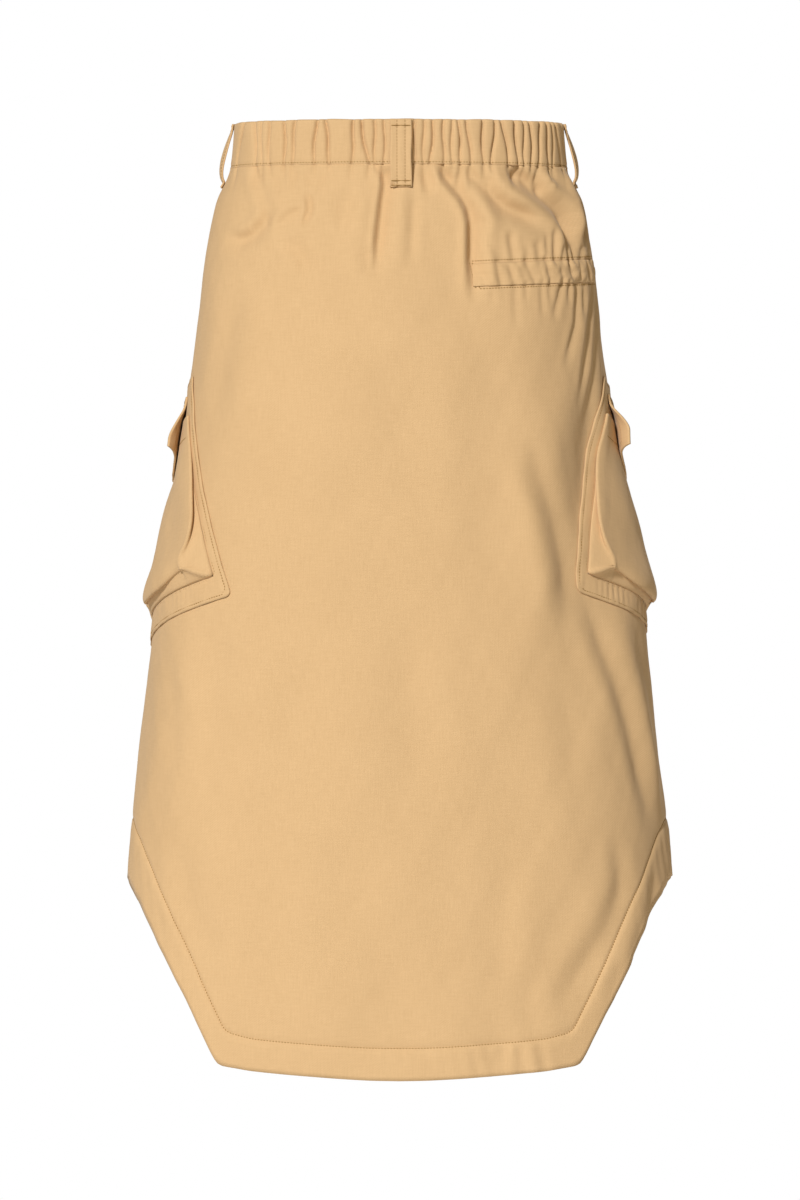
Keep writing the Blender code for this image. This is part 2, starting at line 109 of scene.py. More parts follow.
# ---- Folds: half widths left and right of the path's direction, depth (positive for a trough),
# ends that are as deep as the middle (s start, e end), the path's points as (arc, height)
BACK_FOLDS = (
    (8, 2.6, 6.2, "s", (-22, -18), (-14, -28), (-13, -39), (-15, -55), (-17, -72), (-19, -90),
     (-20, -128)),
    (4, 2.4, 3.4, "", (-86, -42), (-82, -52), (-81, -60), (-84, -68), (-86, -80)),
    (8, 5, 4.6, "", (-118, -48), (-122, -60), (-127, -72), (-140, -83), (-155, -87), (-176, -82)),
    (8, 5, 3.2, "s", (-139, -18), (-135, -32), (-128, -44), (-128, -62)),
    (9, 6, 3.4, "", (-112, -84), (-103, -88), (-94, -95), (-87, -106), (-83, -126)),
    (8, 4, 3, "", (-80, -58), (-92, -63), (-102, -67), (-118, -84)),
    (7, 7, 2, "", (-115, -24), (-111, -48)),
    (7, 7, 1.6, "", (-82, -22), (-78, -42)),
    (4, 3, 2.2, "s", (-95, -18), (-96, -48)),
    (4, 3, 2, "s", (-70, -18), (-69, -44)),
    (9, 9, -1.6, "", (-32, -34), (-34, -64), (-36, -100)),
    (8, 8, 2.2, "", (-41, -36), (-47, -58), (-55, -84)),
    (6, 6, 1.8, "", (-30, -92), (-24, -124)),
    (4, 4, 1.6, "", (14, -40), (12, -77), (11, -116)),
    (5, 3, 2.4, "s", (20, -18), (24, -36), (27, -52)),
    (8, 4.2, 8.8, "s", (37, -18), (43, -32), (50, -41), (57, -49), (63, -59), (66, -72), (66, -90),
     (66, -108), (67, -124), (67, -150)),
    (3, 2.4, 2.2, "s", (54, -18), (54, -46)),
    (6, 8, 7, "s", (58, -18), (64, -28), (71, -36), (80, -43), (88, -51), (98, -58), (112, -63),
     (134, -70), (150, -75)),
    (4, 3, 2.4, "s", (76, -18), (80, -32), (86, -40)),
    (5, 3.4, 4.2, "s", (104, -18), (108, -42)),
    (7, 9, 9.8, "s", (107, -18), (112, -26), (120, -34), (132, -43), (145, -51), (156, -58),
     (165, -67), (172, -77), (176, -88), (180, -100), (181, -112)),
    (6, 3.6, 4.4, "s", (126, -18), (131, -28), (136, -38), (141, -50)),
    (4, 3, 1.8, "s", (146, -18), (150, -36)),
    (9, 8, -5, "s", (164, -18), (174, -34), (181, -48), (184, -62), (185, -78), (186, -96)),
    (6, 10, 3.6, "", (184, -20), (200, -36), (206, -56), (202, -78), (190, -98)),
    (6, 4, 1.5, "e", (78, -82), (90, -106)),
    (3.6, 2.8, 1.7, "e", (100, -76), (104, -106)),
    (3.4, 3, 0.8, "e", (119, -92), (117, -106)),
    (3.8, 3, 1.3, "e", (127, -86), (131, -106)),
    (2.8, 2.4, 1.4, "e", (139, -80), (139, -106)),
    (3.4, 2.8, 2.4, "e", (148, -72), (147, -106)),
    (2.6, 2.4, 1.4, "e", (159, -88), (156, -106)),
    (3.2, 2.6, 2, "e", (163, -80), (166, -106)),
    (2.6, 2.4, 1.4, "e", (176, -90), (174, -105)),
    (3.4, 3, 1.4, "e", (192, -88), (187, -104)),
    (3, 2.8, 1.1, "e", (208, -84), (205, -104)),
    (3.4, 2.6, 1, "se", (72, -110), (78, -128)),
    (2.8, 2.4, 1, "se", (87, -110), (91, -127)),
    (3, 2.4, 0.9, "se", (99, -109), (104, -127)),
    (3.6, 2.6, 1.1, "se", (116, -108), (125, -126)),
    (3.4, 2.4, 1.5, "se", (136, -106), (142, -125)),
    (2.6, 2.4, 1, "se", (152, -106), (157, -124)),
    (3, 2.4, 1.4, "se", (165, -106), (172, -124)),
    (2.6, 2.4, 1, "se", (182, -105), (184, -124)),
    (2.8, 2.4, 1.2, "se", (196, -104), (201, -123)),
    (2.6, 2.4, 0.6, "s", (84, -130), (83, -146)),
    (3.6, 3, 0.8, "s", (106, -130), (105, -166)),
    (2.6, 2.4, 0.8, "s", (116, -128), (116, -144)),
    (3, 2.6, 1.1, "s", (132, -127), (133, -158)),
    (2.2, 2.2, 0.9, "s", (140, -126), (141, -142)),
    (3, 2.4, 1.6, "s", (155, -125), (151, -140), (144, -160)),
    (2.4, 2.2, 1.2, "s", (165, -125), (165, -146)),
    (5, 3.2, 2.2, "s", (178, -124), (174, -161), (167, -178), (156, -206)),
    (3, 2.6, 1.5, "s", (189, -124), (187, -158)),
    (6, 4, 2.4, "s", (212, -124), (200, -154), (185, -200), (176, -240)),
    (7, 5, 2, "s", (226, -128), (210, -180), (196, -222), (188, -262)),
    (34, 22, -3.6, "", (126, -200), (112, -290), (120, -370), (124, -470)),
    (18, 12, 7.6, "", (116, -250), (128, -296), (144, -338), (154, -384), (155, -446)),
    (12, 12, 2.4, "", (148, -240), (157, -280), (172, -330), (184, -372)),
    (10, 20, 3.6, "", (189, -185), (198, -216), (198, -247), (185, -292), (173, -337), (163, -372)),
    (34, 28, 8.4, "", (178, -205), (188, -300), (195, -390), (197, -470)),
    (13, 10, 4.4, "", (160, -370), (177, -404), (196, -452), (224, -510), (252, -600), (266, -640)),
    (13, 14, -3.2, "", (216, -430), (232, -476), (256, -540), (280, -612)),
    (18, 14, 1.8, "", (140, -455), (152, -488), (160, -560), (166, -620)),
    (9, 8, 1.8, "", (200, -610), (208, -664), (204, -690)),
    (15, 11, 3.4, "", (214, -630), (208, -668), (193, -700), (172, -728), (152, -758), (142, -790)),
    (10, 12, 1.8, "", (118, -730), (115, -760), (118, -800)),
    (5, 5, 1.2, "e", (91, -800), (92, -829)),
    (4, 5, 1.2, "e", (126, -796), (131, -820)),
    (6, 5, 1.4, "e", (106, -798), (108, -826)),
    (7, 7, 1.8, "e", (262, -650), (246, -690)),
    (6, 6, 1.4, "e", (238, -690), (222, -722)),
    (6, 7, 1.4, "e", (206, -732), (196, -752)),
    (24, 18, 3.2, "", (-165, -400), (-172, -520), (-178, -640)),
    (14, 12, 2.2, "", (-201, -610), (-198, -672), (-184, -700), (-158, -744)),
    (10, 10, 1, "e", (-206, -690), (-196, -730)),
    (12, 14, 1.8, "", (-224, -450), (-210, -570)),
    (16, 16, 1.5, "", (-120, -560), (-112, -690), (-110, -790)),
    (30, 26, -1.6, "", (-60, -300), (-52, -480), (-54, -700)),
    (18, 20, 1.4, "", (14, -330), (10, -500), (12, -650)),
    (12, 16, 1.8, "e", (98, -600), (92, -700), (87, -806)),
    (26, 22, -2, "", (40, -150), (46, -230), (44, -330)),
    (22, 20, 1.6, "", (-92, -130), (-104, -230), (-108, -330)),
    (14, 12, 1.6, "", (-150, -110), (-168, -190), (-180, -260)),
)
FRONT_FOLDS = (
    (34, 34, 3.2, "", (-262, -205), (-272, -250), (-281, -300), (-289, -335)),
    (34, 34, 3.2, "", (262, -205), (272, -250), (281, -300), (289, -335)),
    (18, 22, 3.4, "", (-470, -300), (-480, -470), (-492, -640)),
    (20, 24, 3.8, "", (462, -340), (476, -500), (494, -680)),
    (16, 18, 2.6, "e", (-566, -560), (-572, -690), (-574, -806)),
    (9, 6, 2, "s", (-318, -18), (-330, -60), (-338, -120)),
    (6, 9, 2.4, "s", (306, -18), (316, -54), (322, -100)),
    (5, 8, 1.8, "s", (268, -18), (282, -60), (300, -96)),
    (8, 5, 1.7, "s", (-262, -18), (-274, -52), (-290, -84)),
    (26, 24, -2.4, "", (-420, -180), (-430, -340), (-440, -520)),
    (22, 26, -2.2, "", (410, -200), (416, -380), (430, -560)),
    (12, 14, 2, "e", (520, -640), (530, -740), (534, -806)),
    (12, 12, 1.8, "e", (-500, -650), (-512, -740), (-520, -806)),
)
FOLD_LIP, FOLD_LIP_PLACE, FOLD_END = 0.36, 2.0, 0.35
FOLD_REACH = 4.5
FOLD_AT_SEAM, FOLD_FULL_BELOW = 0.2, 13

# ---- Slow waves that keep the cloth from looking machined: length across, down, turn, size
WAVES = (
    (173, 410, 0.4, 1.1),
    (97, 260, 2.1, 0.7),
    (61, 143, 4, 0.32),
    (38, 71, 1.1, 0.16),
    (23, 47, 5.2, 0.09),
    (14, 29, 3.3, 0.05),
)
WAVES_FULL_BELOW, CENTRE_FRONT_FADE = 60, 60

# ---- Colour (linear)
TWILL = (0.665, 0.447, 0.238)
TWILL_DEEP = (0.55, 0.36, 0.182)
THREAD = (0.27, 0.155, 0.05)


# ==== The cloth surface, worked out for whole arrays at once
def smooth_table(rows, column, at):
    """One column of a table, read on a smooth curve at an array of keys (the first column)."""
    rows = rows[np.argsort(rows[:, 0])]
    keys, values = rows[:, 0], rows[:, column]
    chords = np.diff(values) / np.diff(keys)
    slopes = np.r_[chords[0], (values[2:] - values[:-2]) / (keys[2:] - keys[:-2]), chords[-1]]
    at = np.clip(at, keys[0], keys[-1])
    i = np.clip(np.searchsorted(keys, at, "right") - 1, 0, len(rows) - 2)
    span = keys[i + 1] - keys[i]
    t = (at - keys[i]) / span
    return (
        (2 * t**3 - 3 * t**2 + 1) * values[i]
        + (t**3 - 2 * t**2 + t) * span * slopes[i]
        + (3 * t**2 - 2 * t**3) * values[i + 1]
        + (t**3 - t**2) * span * slopes[i + 1]
    )


def eased(t):
    t = np.clip(t, 0.0, 1.0)
    return t * t * (3 - 2 * t)


def mix(a, b, t):
    return a + (b - a) * t


def ring(angle, height):
    """x, y and the level outward direction on the ring; the angle is 0 at centre back."""
    half, back, front, square = (smooth_table(SECTIONS, i, height) for i in (1, 2, 3, 4))
    depth = np.where(np.cos(angle) > 0, back, front)
    x = half * (np.sin(angle) + square * np.sin(3 * angle)) / (1 - square)
    y = -depth * (np.cos(angle) - square * np.cos(3 * angle)) / (1 - square)
    along_x = half * (np.cos(angle) + 3 * square * np.cos(3 * angle))
    along_y = depth * (np.sin(angle) - 3 * square * np.sin(3 * angle))
    length = np.hypot(along_x, along_y)
    return x, y, along_y / length, -along_x / length


def ring_tables():
    """At each height the arcs of side seam and centre front, and the angles at shares of them."""
    angles = np.linspace(0, math.pi, RING_STEPS * 2 + 1)
    shares = np.linspace(0, 2, SHARE_STEPS + 1)
    rows = []
    for height in TABLE_HEIGHTS:
        x, y, _, _ = ring(angles, np.full_like(angles, height))
        arcs = np.r_[0.0, np.cumsum(np.hypot(np.diff(x), np.diff(y)))]
        side, front = arcs[RING_STEPS], arcs[-1]
        wanted = np.where(shares < 1, shares * side, side + (shares - 1) * (front - side))
        rows.append((side, front, *np.interp(wanted, arcs, angles)))
    rows = np.array(rows)
    return rows[:, 0], rows[:, 1], rows[:, 2:]


SIDE_ARCS, FRONT_ARCS, SHARE_ANGLES = ring_tables()


def side_arc(height):
    return np.interp(height, TABLE_HEIGHTS, SIDE_ARCS)


def front_arc(height):
    return np.interp(height, TABLE_HEIGHTS, FRONT_ARCS)


def angle_at(arc, height):
    """The angle at an arc from centre back, positive to the wearer's right."""
    side, front = side_arc(height), front_arc(height)
    size = np.abs(arc)
    share = np.where(size < side, size / side, 1 + (size - side) / (front - side))
    column = np.clip(share * SHARE_STEPS / 2, 0, SHARE_STEPS - 1e-6)
    row = np.clip((height - TABLE_HEIGHTS[0]) / TABLE_STEP, 0, len(TABLE_HEIGHTS) - 1 - 1e-6)
    i, j = row.astype(int), column.astype(int)
    u, v = row - i, column - j
    low = mix(SHARE_ANGLES[i, j], SHARE_ANGLES[i, j + 1], v)
    high = mix(SHARE_ANGLES[i + 1, j], SHARE_ANGLES[i + 1, j + 1], v)
    return np.copysign(mix(low, high, u), arc)


def point_out(arc, height, out):
    """Points this far out of the smooth ring, in millimetres: an array of x, y, z rows."""
    x, y, normal_x, normal_y = ring(angle_at(arc, height), height)
    return np.stack((x + normal_x * out, y + normal_y * out, height), axis=-1)


# ==== Relief
def beside_path(arc, height, path):
    """Signed distance from a path (positive on its right) and the share of its length passed."""
    lengths = np.hypot(*np.diff(path, axis=0).T)
    best = np.full(arc.shape, np.inf)
    sign = np.ones(arc.shape)
    along = np.zeros(arc.shape)
    passed = 0.0
    for a, b, length in zip(path, path[1:], lengths):
        dx, dy = (b - a) / length
        t = np.clip((arc - a[0]) * dx + (height - a[1]) * dy, 0, length)
        away_x, away_y = arc - a[0] - t * dx, height - a[1] - t * dy
        distance = np.hypot(away_x, away_y)
        nearer = distance < best
        best = np.where(nearer, distance, best)
        sign = np.where(nearer, np.sign(away_x * dy - away_y * dx), sign)
        along = np.where(nearer, (passed + t) / lengths.sum(), along)
        passed += length
    return best * np.where(sign == 0, 1, sign), along


def fold_relief(folds, arc, height):
    total = np.zeros(arc.shape)
    for left, right, depth, whole, *path in folds:
        path = np.array(path, float)
        reach = FOLD_REACH * max(left, right)
        low, high = path.min(axis=0) - reach, path.max(axis=0) + reach
        near = (arc > low[0]) & (arc < high[0]) & (height > low[1]) & (height < high[1])
        if not near.any():
            continue
        away, along = beside_path(arc[near], height[near], path)
        off = np.abs(away) / np.where(away > 0, right, left)
        start = 1.0 if "s" in whole else eased(along / FOLD_END)
        end = 1.0 if "e" in whole else eased((1 - along) / FOLD_END)
        lip = FOLD_LIP * np.exp(-((off - FOLD_LIP_PLACE) ** 2))
        valley = np.exp(-(off**2) / np.sqrt(1 + 0.5 * off**2))
        total[near] += depth * start * end * (lip - valley)
    return total


def slow_waves(arc, height):
    total = np.zeros(arc.shape)
    for across, down, turn, size in WAVES:
        sideways = np.sin(2 * math.pi * arc / across + turn + 1.7 * np.sin(height / down))
        upwards = np.sin(2 * math.pi * height / down + turn * 2.3 + 1.3 * np.sin(arc / across))
        total += size * sideways * upwards
    return total


def off_centre_front(arc, height):
    """0 at centre front, where the arcs of the two sides meet, and 1 well away from it."""
    return eased((front_arc(height) - np.abs(arc)) / CENTRE_FRONT_FADE)


def gather_relief(arc, height):
    """Valleys between puffed ridges in the band; below the seam they run on a little way."""
    up = np.clip((height - WAIST_SEAM) / (BAND_TOP - WAIST_SEAM), 0, 1)
    below = np.clip(WAIST_SEAM - height, 0, None)
    end = eased((side_arc(height) - np.abs(arc)) / 12.0)
    under_band = GATHER_AT_SEAM * np.exp(-((below / GATHER_RUN) ** 1.5))
    strength = np.where(below > 0, under_band, mix(GATHER_AT_SEAM, 1.0, eased(up * 1.8)))
    total = np.full(arc.shape, GATHER_PUFF)
    for i, (at_top, at_seam, depth, wide) in enumerate(GATHERS):
        place = mix(at_seam, at_top, up) + 0.8 * np.sin(height / 7.0 + i * 1.9)
        off = np.abs(arc - place) / (wide * (1 + below / 16.0))
        crease = np.exp(-np.sqrt(off**2 + 0.02) / GATHER_CREASE)
        total -= depth * (1.3 * crease + 0.6 / (1 + 1.6 * off**2))
    return total * strength * end


def panel_relief(arc, height):
    """All the relief of the hanging panels, front and back."""
    below = WAIST_SEAM - height
    relief = fold_relief(BACK_FOLDS, arc, height) + fold_relief(FRONT_FOLDS, arc, height)
    relief *= mix(FOLD_AT_SEAM, 1.0, eased(below / FOLD_FULL_BELOW))
    waves = slow_waves(arc, height) * eased(below / WAVES_FULL_BELOW)
    relief += waves * off_centre_front(arc, height)
    relief += np.where(np.abs(arc) < side_arc(height), gather_relief(arc, height), 0)
    return relief


def round_front(arc, height):
    """Arcs that run on from the left side over centre front to the right, for the weave."""
    return np.where(arc < 0, 2 * front_arc(height) + arc, arc)


def on_panel(arc, height, out):
    return point_out(arc, height, out + panel_relief(arc, height))


# ==== Making pieces
def grid(columns, rows):
    """Shares across (0 to 1) and up (0 to 1), as rows by columns."""
    return np.meshgrid(np.linspace(0, 1, columns + 1), np.linspace(0, 1, rows + 1))


def placed(name, data):
    made = bpy.data.objects.new(name, data)
    bpy.context.scene.collection.objects.link(made)
    return made


def soft_piece(name, mesh, material, wall=0.0, outwards=False):
    """A smooth piece of the skirt, with a cloth's wall if it is given one."""
    mesh.shade_smooth()
    mesh.materials.append(material)
    piece = placed(name, mesh)
    if wall:
        thick = piece.modifiers.new("wall", "SOLIDIFY")
        thick.thickness = wall * MM
        thick.offset = 1 if outwards else -1
    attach(piece, "root")
    return piece


def cloth_piece(node, points, cloth_uv, wall, outwards=False, flipped=False, **sheet):
    name, (rows, columns) = node + "_cloth", points.shape[:2]
    index = np.arange(rows * columns).reshape(rows, columns)
    a, b, c, d = index[:-1, :-1], index[:-1, 1:], index[1:, 1:], index[1:, :-1]
    quads = np.stack((a, d, c, b) if flipped else (a, b, c, d), axis=-1).reshape(-1, 4)
    mesh = bpy.data.meshes.new(name)
    mesh.from_pydata((points.reshape(-1, 3) * MM).tolist(), [], quads.tolist())
    corners = np.empty(len(mesh.loops), np.int32)
    mesh.loops.foreach_get("vertex_index", corners)
    uv = np.stack(cloth_uv, axis=-1).reshape(-1, 2)[corners] * MM
    mesh.uv_layers.new(name="cloth").data.foreach_set("uv", uv.astype(np.float32).ravel())
    piece = soft_piece(name, mesh, twill, wall, outwards)
    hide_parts(node)


def resampled(points, step):
    """A polyline's points at even steps along it."""
    lengths = np.r_[0.0, np.cumsum(np.linalg.norm(np.diff(points, axis=0), axis=1))]
    count = max(int(round(lengths[-1] / step)), 1)
    wanted = (np.arange(count) + 0.5) * lengths[-1] / count
    return np.stack([np.interp(wanted, lengths, values) for values in points.T], axis=1)


def stitch_row(surface, out):
    """Points and outward directions of stitches, on a surface that can be had at any distance."""
    points = surface(out)
    return points, points - surface(out - 1.0)


STITCH_LENGTH, STITCH_PITCH, STITCH_WIDE = 1.8, 2.7, 0.95
STITCH_SIDES, STITCH_FLAT, THREAD_OUT = 5, 0.8, 0.12
# rings along a stitch: place in its length, width, rise
STITCH_RINGS = ((-0.5, 0.35, -0.28), (-0.3, 0.9, 0.02), (0.3, 0.9, 0.02), (0.5, 0.35, -0.28))


def stitching(name, paths, pitch=STITCH_PITCH, length=STITCH_LENGTH, wide=STITCH_WIDE):
    """Rows of separate thread stitches. Each path is (points, outward directions) in millimetres."""
    vertices, faces = [], []
    around = np.linspace(0, 2 * math.pi, STITCH_SIDES, endpoint=False)
    for points, normals in paths:
        both = resampled(np.hstack((points, normals)), pitch)
        centres, outs = both[:, :3], both[:, 3:]
        ahead = np.gradient(centres, axis=0) if len(centres) > 1 else points[-1:] - points[:1]
        for centre, out, run in zip(centres, outs, ahead):
            run = run / np.linalg.norm(run)
            out = out - run * out.dot(run)
            out = out / np.linalg.norm(out)
            aside = np.cross(run, out)
            base = len(vertices)
            for place, swell, lift in STITCH_RINGS:
                middle = centre + run * place * length + out * lift
                radius = wide / 2 * swell
                vertices += [middle + aside * math.cos(angle) * radius
                             + out * math.sin(angle) * radius * STITCH_FLAT for angle in around]
            for low in range(base, len(vertices) - STITCH_SIDES, STITCH_SIDES):
                high = low + STITCH_SIDES
                for s in range(STITCH_SIDES):
                    n = (s + 1) % STITCH_SIDES
                    faces.append((low + s, low + n, high + n, high + s))
            faces.append(tuple(range(base + STITCH_SIDES - 1, base - 1, -1)))
            faces.append(tuple(range(len(vertices) - STITCH_SIDES, len(vertices))))
    mesh = bpy.data.meshes.new(name)
    mesh.from_pydata((np.array(vertices) * MM).tolist(), [], faces)
    soft_piece(name, mesh, thread)


# ==== Materials
RIB_DEGREES, RIB_SCALE = -62, 230.0
YARN_SCALE, WEFT_SCALE, WASH_SCALE = (900, 60, 1), (70, 800, 1), 14.0
WEAVE_RELIEF = 0.00022


def feed(tree, node, inputs):
    """Set a node's inputs to values, or link them to the outputs given in their place."""
    for key, value in inputs.items():
        if isinstance(value, bpy.types.NodeSocket):
            tree.links.new(value, node.inputs[key])
        else:
            node.inputs[key].default_value = value


def make_node(tree, kind, inputs=None, **settings):
    made = tree.nodes.new(kind)
    for key, value in settings.items():
        setattr(made, key, value)
    feed(tree, made, inputs or {})
    return made


def make_material(name, inputs):
    """A new material, its node tree and its shader with these inputs."""
    material = bpy.data.materials.new(name)
    material.use_nodes = True
    tree = material.node_tree
    shader = tree.nodes["Principled BSDF"]
    feed(tree, shader, inputs)
    return material, tree, shader


def twill_material():
    """Washed cotton twill: a fine diagonal rib in the cloth's own directions, heathered yarn."""
    material, tree, shader = make_material("twill", {
        "Roughness": 0.9, "Sheen Weight": 0.12, "Sheen Roughness": 0.5, "Specular IOR Level": 0.18,
    })
    uv = make_node(tree, "ShaderNodeUVMap", uv_map="cloth").outputs["UV"]

    def mapped(**change):
        return make_node(tree, "ShaderNodeMapping", {"Vector": uv, **change}).outputs["Vector"]

    def noise(place, scale, detail):
        inputs = {"Vector": place, "Scale": scale, "Detail": detail}
        return make_node(tree, "ShaderNodeTexNoise", inputs, noise_dimensions="2D").outputs["Fac"]

    def summed(total, *terms):
        for output, factor in terms:
            inputs = {0: output, 1: factor, 2: total}
            total = make_node(tree, "ShaderNodeMath", inputs, operation="MULTIPLY_ADD").outputs[0]
        return total

    rib = make_node(
        tree, "ShaderNodeTexWave",
        {"Vector": mapped(Rotation=(0, 0, math.radians(RIB_DEGREES))), "Scale": RIB_SCALE,
         "Distortion": 1.6, "Detail": 2.0, "Detail Scale": 3.0},
        wave_type="BANDS", bands_direction="X", wave_profile="SIN",
    ).outputs["Fac"]
    yarn = noise(mapped(Scale=YARN_SCALE), 1.0, 2.0)
    weft = noise(mapped(Scale=WEFT_SCALE), 1.0, 2.0)
    wash = noise(uv, WASH_SCALE, 4.0)

    shade = summed(-0.12, (yarn, 0.55), (weft, 0.45), (wash, 0.35), (rib, -0.16))
    colours = make_node(
        tree, "ShaderNodeMix", {"Factor": shade, "A": (*TWILL, 1), "B": (*TWILL_DEEP, 1)},
        data_type="RGBA", clamp_factor=True,
    )
    relief = summed(0.0, (rib, 1.0), (yarn, 0.7), (weft, 0.5))
    bump = make_node(
        tree, "ShaderNodeBump", {"Strength": 0.35, "Distance": WEAVE_RELIEF, "Height": relief}
    )
    feed(tree, shader, {
        "Base Color": colours.outputs["Result"], "Normal": bump.outputs["Normal"],
    })
    return material


def thread_material():
    material, tree, shader = make_material(
        "thread", {"Roughness": 0.8, "Specular IOR Level": 0.15}
    )
    place = make_node(tree, "ShaderNodeTexCoord").outputs["Object"]
    noise = make_node(tree, "ShaderNodeTexNoise", {"Vector": place, "Scale": 900.0})
    pale = (*(1.25 * c for c in THREAD), 1)
    colours = make_node(
        tree, "ShaderNodeMix", {"Factor": noise.outputs["Fac"], "A": (*THREAD, 1), "B": pale},
        data_type="RGBA",
    )
    feed(tree, shader, {"Base Color": colours.outputs["Result"]})
    return material


twill = twill_material()
thread = thread_material()


# ==== Panels
HEM_RISE, HEM_DIP, HEM_DIP_WIDE = 0.7, 0.9, 2.0
HEM_ROPE, HEM_ROPE_PITCH = 0.45, 13.5
HEM_ROWS = (2.4, 1.2, 0.0, -1.2, -2.4)
HEM_ROWS_BELOW = 6


def hem_heights(share):
    """Heights of the hem's row of stitching and of its edge, by the share from side to centre."""
    key = share * HEM[-1, 0]
    return smooth_table(HEM, 2, key), smooth_table(HEM, 1, key)


def hem_relief(arc, height, share):
    """The doubled hem stands a little proud, dips at its stitching and ropes along its edge."""
    line, edge = hem_heights(share)
    in_hem = (line - height) / (line - edge)
    proud = HEM_RISE * eased(in_hem * 12)
    dip = -HEM_DIP * np.exp(-(((height - line) / HEM_DIP_WIDE) ** 2))
    rope = np.sin(arc * 2 * math.pi / HEM_ROPE_PITCH + height / 9.0 + 1.5 * np.sin(arc / 31.0))
    strength = HEM_ROPE * (0.5 + 0.5 * np.sin(arc / 47.0 + 0.6)) * np.clip(in_hem * 6, 0, 1)
    strength = strength * np.where(arc > 60, 1.6, 0.7)
    return proud + dip + rope * strength * (1 - 0.5 * np.clip(in_hem, 0, 1))


def panel_heights(count, top, share):
    """Row heights from the hem up: rows follow its stitching, and lie closer under the waist."""
    line, edge = hem_heights(share)
    above = np.linspace(0, 1, count + 2 - len(HEM_ROWS) - HEM_ROWS_BELOW)[:-1]
    above = np.interp(above, (0, 0.32, 1), (0, 0.16, 1))
    below = np.arange(1, HEM_ROWS_BELOW + 1) / HEM_ROWS_BELOW
    heights = [mix(top, line + HEM_ROWS[0], place) for place in above]
    heights += [line + beside for beside in HEM_ROWS]
    heights += [mix(line + HEM_ROWS[-1], edge, place) for place in below]
    return np.array(heights[::-1])


def arc_across(across, height, front):
    """Arcs of a back piece from left to right, or of a front piece from the right side round."""
    if not front:
        return (across * 2 - 1) * (side_arc(height) - SEAM_GAP / 2)
    arc = mix(side_arc(height) + SEAM_GAP / 2, front_arc(height), 1 - np.abs(across * 2 - 1))
    return np.where(across < 0.5, arc, -arc)


def make_panel(node, columns, rows, front, area):
    across, _ = grid(columns, rows)
    from_side = 1 - np.abs(across * 2 - 1)
    height = panel_heights(rows, WAIST_SEAM - SEAM_GAP / 2, from_side[0])
    arc = arc_across(across, height, front)
    relief = panel_relief(arc, height) + hem_relief(arc, height, from_side)
    if front:
        # the front's seam allowance lies behind the back panel's edge
        side = side_arc(height)
        for end, beside, turn in ((0, 1, 1), (-1, -2, -1)):
            arc[:, end] = turn * (side[:, end] - SEAM_UNDER)
            arc[:, beside] = turn * (side[:, beside] + SEAM_GAP)
            relief[:, [end, beside]] -= CLOTH + SEAM_GAP
    points = point_out(arc, height, relief)
    cloth_uv = (round_front(arc, height) if front else arc, height)
    cloth_piece(node, points, cloth_uv, CLOTH, flat=(0.66, 0.83), held="hung", area=area)


make_panel("back_panel", columns=230, rows=205, front=False, area=0.44)
make_panel("front_panel", columns=200, rows=170, front=True, area=0.43)

# ==== Waistbands
BAND_ROUND = 2.0
BAND_STITCH_UP = 1.8
BAND_TAPER, BAND_TAPER_WIDE = 2.4, 22


def band_surface(arc, height):
    """The band's outer face: gathered at the back, rounded over at its folded top."""
    over = np.clip((height - (BAND_TOP - BAND_ROUND)) / BAND_ROUND, 0, 1)
    relief = np.where(np.abs(arc) < side_arc(height), gather_relief(arc, height), 0.0)
    relief = relief + slow_waves(arc * 1.7, height * 2.0) * 0.25 * off_centre_front(arc, height)
    pinch = -0.8 * np.exp(-(((height - WAIST_SEAM - BAND_STITCH_UP) / 1.2) ** 2))
    near_side = np.exp(-(((np.abs(arc) - side_arc(height)) / BAND_TAPER_WIDE) ** 2))
    taper = BAND_TAPER * eased((height - WAIST_SEAM) / (BAND_TOP - WAIST_SEAM)) * near_side
    return relief + 0.5 + pinch - 0.9 * over**2 - taper


def make_band(node, columns, rows, front, flat, held):
    across, up = grid(columns, rows)
    height = mix(WAIST_SEAM + SEAM_GAP / 2, BAND_TOP, up)
    arc = arc_across(across, height, front)
    points = point_out(arc, height, band_surface(arc, height))
    if not front:
        points[..., 2] += 0.15 * (np.sin(arc / 5.3) + np.sin(arc / 11.9 + 1)) * up
    cloth_uv = (round_front(arc, height) if front else arc, height)
    cloth_piece(node, points, cloth_uv, BAND_WALL, flat=flat, held=held)


make_band("waistband_back", 420, 26, front=False, flat=(0.42, 0.04), held="gathered")
make_band("waistband_front", 200, 14, front=True, flat=(0.40, 0.04), held="hung")

# ==== Belt loops
Loop = namedtuple("Loop", "name degrees foot bow turn")
LOOPS = (
    Loop("belt_loop_centre_back", 0.6, -41, 0.8, 0),
    Loop("belt_loop_side_left", -90, -37.5, 4.2, 10),
    Loop("belt_loop_side_right", 90, -37.5, 4.2, -10),
    Loop("belt_loop_front_left", -146, -40, 1.6, 0),
    Loop("belt_loop_front_right", 146, -40, 1.6, 0),
)
LOOP_WALL = 1.6
LOOP_WIDTH, LOOP_TOP, LOOP_SEAT, LOOP_BOW_LOW = 19, 19.4, 6, 0.6
LOOP_ROWS, LOOP_COLUMNS = 44, 12
LOOP_STITCH, LOOP_THREAD_SUNK, LOOP_TACK = 3.6, 0.2, 8.6


def arc_at(angle, height):
    """The arc at an angle, at one height."""
    row = SHARE_ANGLES[np.argmin(np.abs(TABLE_HEIGHTS - height))]
    share = np.interp(abs(angle), row, np.linspace(0, 2, SHARE_STEPS + 1))
    side, front = side_arc(height), front_arc(height)
    arc = share * side if share < 1 else side + (share - 1) * (front - side)
    return math.copysign(float(arc), angle)


